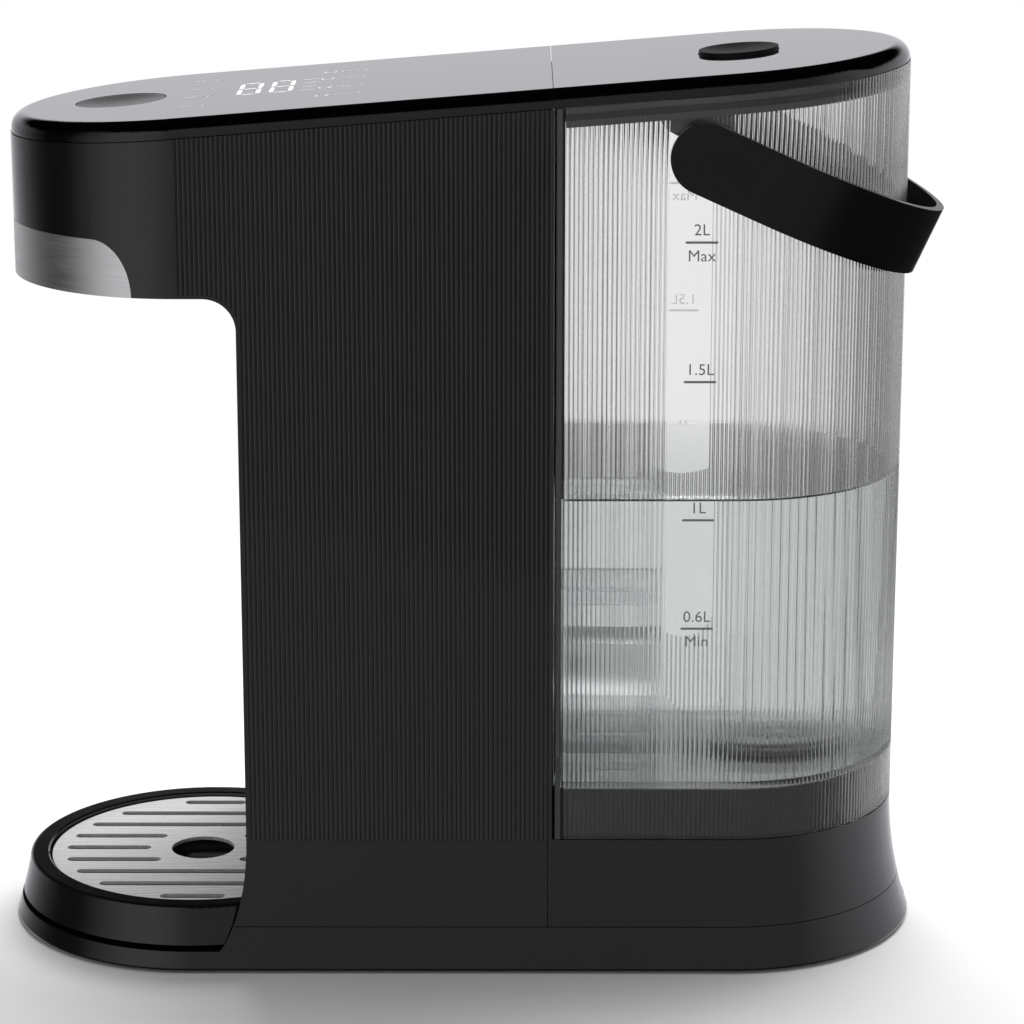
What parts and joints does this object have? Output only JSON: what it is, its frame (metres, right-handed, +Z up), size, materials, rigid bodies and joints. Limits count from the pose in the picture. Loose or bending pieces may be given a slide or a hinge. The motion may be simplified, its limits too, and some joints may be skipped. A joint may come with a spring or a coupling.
{
  "type": "instant hot water dispenser",
  "caption": "Counter-top instant hot water dispenser with a reeded column, a spout over a drip tray, and a clear lift-off water tank with lid and carrying handle.",
  "frame": {"origin": "middle of the whole object's length and width, on the surface that it stands on", "axes": "+Z up, +X towards the rear (the water tank), +Y towards the object's right-hand side seen from behind"},
  "size_m": [0.3132, 0.1292, 0.3005],
  "materials": {
    "black_shell": "satin moulded black",
    "gloss_black": "polished black",
    "steel": "brushed",
    "clear_tank": "clear moulded",
    "dark_plastic": "fine grain",
    "grey_plastic": "moulded",
    "white_plastic": "moulded",
    "rubber": "matt",
    "silicone": "translucent silicone",
    "board": "solder mask",
    "metal": "drawn",
    "display": "display"
  },
  "bodies": {
    "base": {"base_foot": "black_shell", "rubber_feet": "rubber", "base_screws": "metal", "cord_gland": "rubber", "dock_housing": "black_shell", "dock_pedestal": "dark_plastic", "dock_seal": "silicone", "dock_pin": "metal", "main_shell": "black_shell", "back_panel": "dark_plastic", "control_cover": "gloss_black", "control_board": "board", "display_module": "display", "button_switch": "grey_plastic", "spout_band": "steel", "nozzle_bezel": "dark_plastic", "spout_nozzle": "silicone", "heater_tube": "metal", "heater_caps": "white_plastic", "heater_brackets": "metal", "thermal_cutouts": "metal", "temperature_sensor": "metal", "water_pump": "grey_plastic", "pump_cushion": "rubber", "flow_meter": "white_plastic", "pump_hose": "silicone", "inlet_hose": "silicone", "outlet_hose": "silicone", "power_board": "board", "power_parts": "grey_plastic", "terminal_block": "white_plastic", "level_sensor": "grey_plastic"},
    "tank": {"tank_shell": "clear_tank", "valve_housing": "dark_plastic", "inlet_strainer": "grey_plastic", "float_cage": "clear_tank", "handle_pins": "dark_plastic", "valve_spring": "metal"},
    "valve": {"valve_poppet": "white_plastic", "poppet_seal": "silicone"},
    "level": {"level_float": "white_plastic", "float_magnet": "metal"},
    "handle": {"handle_strap": "black_shell"},
    "lid": {"lid_cover": "gloss_black", "lid_plug": "dark_plastic", "lid_seal": "silicone", "button_spring": "metal"},
    "lid_press": {"lid_button": "gloss_black"},
    "tray": {"drip_tray": "black_shell"},
    "grille": {"drip_grille": "steel"},
    "dispense": {"dispense_button": "gloss_black"}
  },
  "joints": [
    {"name": "tank_lift", "type": "slide", "parent": "base", "child": "tank", "axis": [0, 0, 1], "range_m": [0, 0.25]},
    {"name": "handle_swing", "type": "hinge", "parent": "tank", "child": "handle", "pos_m": [0.0754, 0, 0.2706], "axis": [0, -1, 0], "range_deg": [0, 150]},
    {"name": "lid_lift", "type": "slide", "parent": "tank", "child": "lid", "axis": [0, 0, 1], "range_m": [0, 0.075]},
    {"name": "lid_button_press", "type": "slide", "parent": "lid", "child": "lid_press", "axis": [0, 0, -1], "range_m": [0, 0.002], "stiffness_N_per_m": 500, "springref_m": -0.001, "deforming": ["button_spring"]},
    {"name": "valve_open", "type": "slide", "parent": "tank", "child": "valve", "axis": [0, 0, 1], "range_m": [0, 0.003], "stiffness_N_per_m": 300, "springref_m": -0.003, "deforming": ["valve_spring"]},
    {"name": "float_rise", "type": "slide", "parent": "tank", "child": "level", "axis": [0, 0, 1], "range_m": [0, 0.012]},
    {"name": "tray_pull", "type": "slide", "parent": "base", "child": "tray", "axis": [-1, 0, 0], "range_m": [0, 0.125]},
    {"name": "grille_lift", "type": "slide", "parent": "tray", "child": "grille", "axis": [0, 0, 1], "range_m": [0, 0.025]},
    {"name": "dispense_press", "type": "slide", "parent": "base", "child": "dispense", "axis": [0, 0, -1], "range_m": [0, 0.0012], "stiffness_N_per_m": 600, "springref_m": -0.001}
  ]
}
